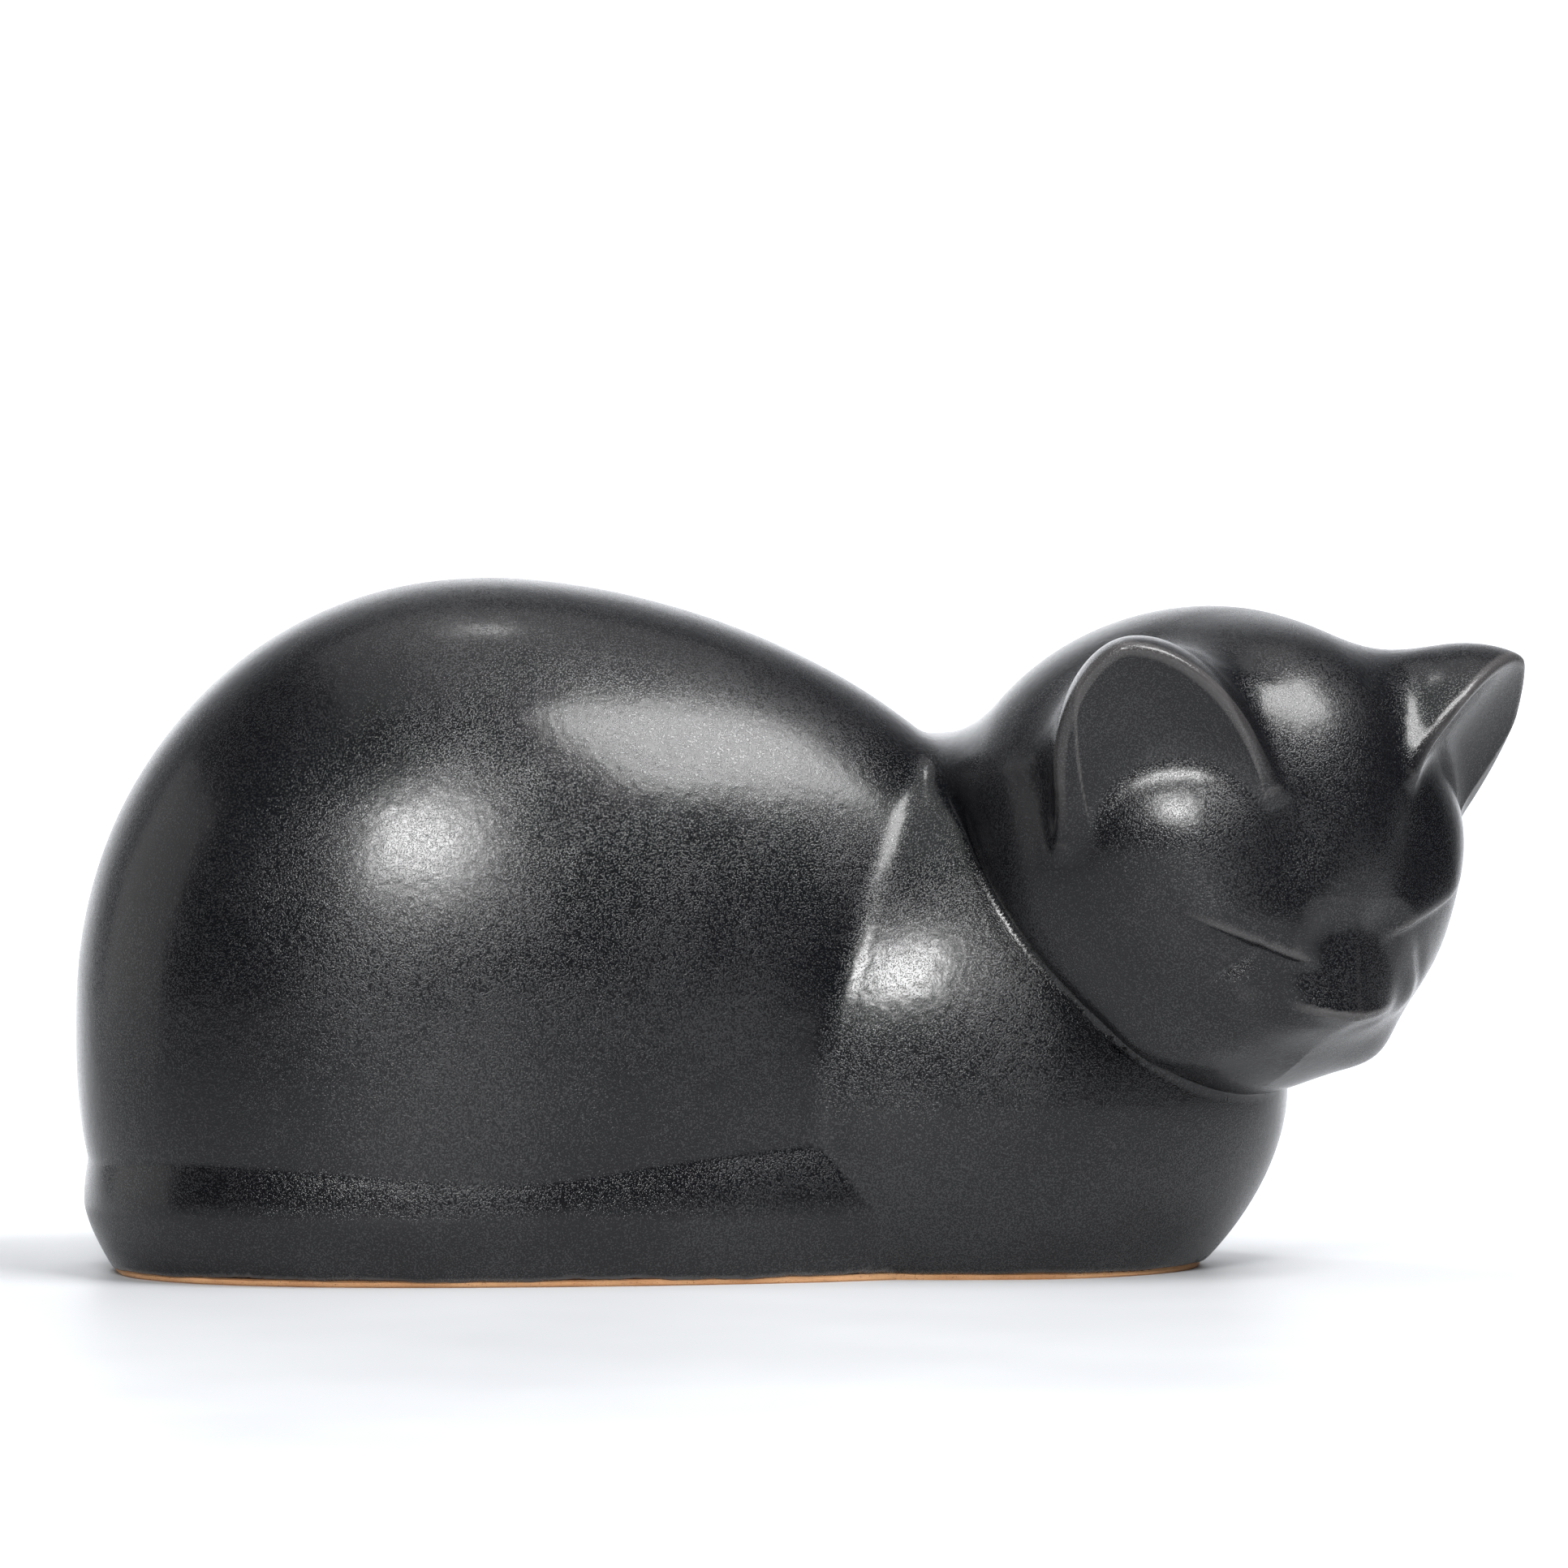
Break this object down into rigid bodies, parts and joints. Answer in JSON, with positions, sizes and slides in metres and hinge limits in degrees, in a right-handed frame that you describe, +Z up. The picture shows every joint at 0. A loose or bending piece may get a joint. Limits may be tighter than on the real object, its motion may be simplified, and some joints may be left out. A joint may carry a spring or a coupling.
{
  "type": "ceramic cat figurine",
  "caption": "Sleeping cat figurine in glazed stoneware, lying with its tail band round the base and its head turned aside, cast hollow on a bare clay foot.",
  "frame": {"origin": "middle of the foot, on the surface that the cat rests on", "axes": "+X from the rump to the head, +Z up, -Y towards the side that the face is turned to"},
  "size_m": [0.2968, 0.147, 0.1435],
  "materials": {
    "dark_glaze": "satin near-black blue-grey glaze with a fine crystal speckle",
    "bare_clay": "unglazed orange-buff stoneware, matte"
  },
  "bodies": {
    "root": {"body_casting": "dark_glaze", "head_casting": "dark_glaze", "right_ear": "dark_glaze", "left_ear": "dark_glaze", "base_slab": "bare_clay"}
  },
  "joints": []
}
